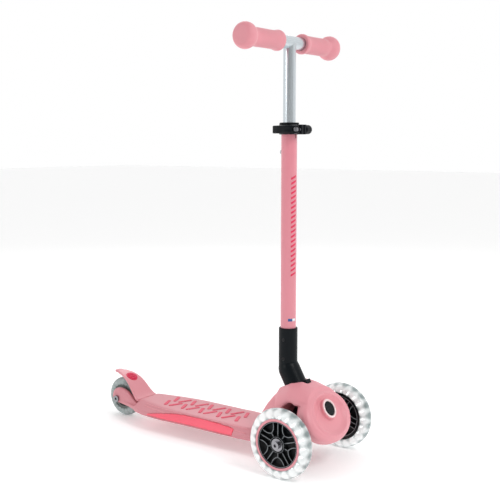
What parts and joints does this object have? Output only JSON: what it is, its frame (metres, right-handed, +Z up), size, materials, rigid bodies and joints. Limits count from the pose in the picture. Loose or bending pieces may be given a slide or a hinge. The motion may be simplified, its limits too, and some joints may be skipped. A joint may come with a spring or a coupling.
{
  "type": "kick scooter",
  "caption": "Small child's lean-to-steer kick scooter with lit front wheels, a rear foot brake and a height-adjustable T-bar.",
  "frame": {"origin": "on the floor, below the middle of the overall box", "axes": "+X forward towards the two front wheels, +Y to the rider's left, +Z up along the T-bar"},
  "size_m": [0.5624, 0.28, 0.758],
  "materials": {
    "pink_plastic": "satin moulded plastic, pastel pink, fine moulded grain",
    "coral_plastic": "satin translucent coral-pink plastic inlay",
    "hot_pink_plastic": "matt hot-pink plastic",
    "pink_paint": "pastel pink gloss powder coat on an aluminium tube",
    "silver_aluminium": "silver satin anodised aluminium",
    "pink_rubber": "soft pastel pink thermoplastic rubber with fine dots",
    "black_plastic": "black satin glass-filled plastic",
    "grey_plastic": "dark grey moulded plastic",
    "clear_tyre": "clear cast polyurethane lit from inside",
    "smoke_tyre": "clear grey-green cast polyurethane",
    "light": "white light ring of the lit wheels",
    "rubber": "black rubber torsion bush",
    "bushing": "plain acetal bearing bushes",
    "black_steel": "blackened steel screws",
    "bright_steel": "bright zinc-plated steel"
  },
  "bodies": {
    "frame": {"brake_pivot_pin": "bright_steel", "brake_spring": "bright_steel", "cam_pin": "bright_steel", "centring_bush": "rubber", "clamp_collar": "black_plastic", "clamp_nut": "black_plastic", "clamp_skewer": "bright_steel", "clamp_washer": "bright_steel", "deck": "pink_plastic", "deck_grip_pattern": "hot_pink_plastic", "deck_screws": "bright_steel", "front_housing": "pink_plastic", "guide_pin": "bright_steel", "kingpin": "bright_steel", "kingpin_nut": "bright_steel", "lock_spring": "bright_steel", "lower_tube": "pink_paint", "neck": "black_plastic", "neck_screws": "black_steel", "rear_axle_bolt": "bright_steel", "rear_axle_nut": "bright_steel", "rear_spacers": "bright_steel", "side_strip_left": "coral_plastic", "side_strip_right": "coral_plastic", "tube_top_bush": "black_plastic"},
    "axle_carrier": {"axle_carrier": "black_plastic", "pivot_bushes": "bushing", "axle_nuts": "bright_steel", "axle_bolt_right": "bright_steel", "axle_bolt_left": "bright_steel", "axle_washers": "bright_steel"},
    "wheel_front_right": {"tyre_right": "clear_tyre", "core_right": "black_plastic", "rim_ring_right": "pink_plastic", "bearings_right": "bright_steel", "spacer_right": "bright_steel", "light_ring_right": "light"},
    "wheel_front_left": {"tyre_left": "clear_tyre", "core_left": "black_plastic", "rim_ring_left": "pink_plastic", "bearings_left": "bright_steel", "spacer_left": "bright_steel", "light_ring_left": "light"},
    "wheel_rear": {"tyre_rear": "smoke_tyre", "core_rear": "grey_plastic", "bearings_rear": "bright_steel", "spacer_rear": "bright_steel"},
    "brake": {"brake": "pink_plastic", "brake_pad": "bright_steel", "brake_badge": "hot_pink_plastic"},
    "handlebar": {"crossbar": "silver_aluminium", "upper_stem": "silver_aluminium", "stem_foot_bush": "black_plastic", "grip_right": "pink_rubber", "grip_left": "pink_rubber"},
    "clamp_lever": {"clamp_lever": "black_plastic"},
    "lock_button": {"lock_button": "black_plastic"},
    "release_catch": {"release_catch": "black_plastic"}
  },
  "joints": [
    {"name": "steer", "type": "hinge", "parent": "frame", "child": "axle_carrier", "pos_m": [0.21092, 0, 0.0775], "axis": [0.866, 0, 0.5], "range_deg": [-13, 13], "stiffness_Nm_per_rad": 60},
    {"name": "front_wheel_right_spin", "type": "hinge", "parent": "axle_carrier", "child": "wheel_front_right", "pos_m": [0.22075, -0.1, 0.0605], "axis": [0, 1, 0], "continuous": true},
    {"name": "front_wheel_left_spin", "type": "hinge", "parent": "axle_carrier", "child": "wheel_front_left", "pos_m": [0.22075, 0.1, 0.0605], "axis": [0, 1, 0], "continuous": true},
    {"name": "rear_wheel_spin", "type": "hinge", "parent": "frame", "child": "wheel_rear", "pos_m": [-0.24125, 0, 0.04], "axis": [0, 1, 0], "continuous": true},
    {"name": "brake_press", "type": "hinge", "parent": "frame", "child": "brake", "pos_m": [-0.18225, 0, 0.04], "axis": [0, -1, 0], "range_deg": [0, 2.5], "stiffness_Nm_per_rad": 12, "springref_deg": -1.15},
    {"name": "handlebar_height", "type": "slide", "parent": "frame", "child": "handlebar", "axis": [0, 0, 1], "range_m": [-0.1, 0]},
    {"name": "clamp_lever_swing", "type": "hinge", "parent": "frame", "child": "clamp_lever", "pos_m": [0.19075, -0.0166, 0.587], "axis": [0, 0, 1], "range_deg": [0, 140]},
    {"name": "lock_button_press", "type": "slide", "parent": "frame", "child": "lock_button", "axis": [-0.866, 0, -0.5], "range_m": [0, 0.0035], "stiffness_N_per_m": 500, "springref_m": -0.002},
    {"name": "release_catch_press", "type": "slide", "parent": "frame", "child": "release_catch", "axis": [-0.866, 0, -0.5], "range_m": [0, 0.0025], "stiffness_N_per_m": 500, "springref_m": -0.002}
  ]
}
